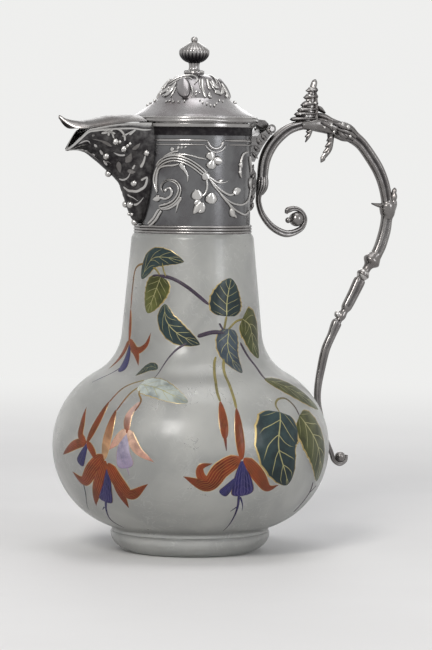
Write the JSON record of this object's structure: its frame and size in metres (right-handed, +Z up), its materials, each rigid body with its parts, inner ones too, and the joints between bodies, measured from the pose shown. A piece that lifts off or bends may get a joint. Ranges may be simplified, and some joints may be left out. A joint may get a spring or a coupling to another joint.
{
  "type": "claret_jug",
  "caption": "Claret jug with a rounded glass body on a low foot, a reeded silver collar, a beaked spout, a hinged domed lid with a tongue over the spout, and a scrolled stem handle",
  "frame": {"origin": "centre of the foot's flat underside, on the jug's axis", "axes": "+Z up, -X the spout, +X the handle, Y along the hinge pin"},
  "size_m": [0.2022, 0.1522, 0.2809],
  "materials": {
    "glass": "frosted, with fired enamel flowers",
    "silver": "aged silver with dark recesses",
    "plaster": "set plaster",
    "fastener": "plain brass"
  },
  "bodies": {
    "jug": {"glass_body": "glass", "neck_plaster": "plaster", "collar_sleeve": "silver", "collar_base_ring": "silver", "collar_top_moulding": "silver", "collar_rim": "silver", "spout_beak": "silver", "spout_berries": "silver", "hinge_bracket": "silver", "hinge_pin": "silver", "handle_mount": "silver", "scroll_tail": "silver", "scroll_bud": "silver", "scroll_band": "silver", "scroll_berries": "silver", "handle_crest": "silver", "crest_leaves": "silver", "handle_binding": "silver", "handle_bow": "silver", "handle_leaf_collar": "silver", "stem_upper": "silver", "knot_upper": "silver", "stem_middle": "silver", "knot_lower": "silver", "stem_lower": "silver", "tail_ball": "silver"},
    "lid": {"lid_dome": "silver", "lid_rim": "silver", "lid_locating_ring": "silver", "lid_tongue": "silver", "lid_hinge_leaf": "silver", "finial_base": "silver", "finial_knob": "silver", "finial_washer": "silver", "finial_nut": "fastener"}
  },
  "joints": [
    {"name": "lid_hinge", "type": "hinge", "parent": "jug", "child": "lid", "pos_m": [0.043, 0, 0.231], "axis": [0, 1, 0], "range_deg": [0, 92]}
  ]
}
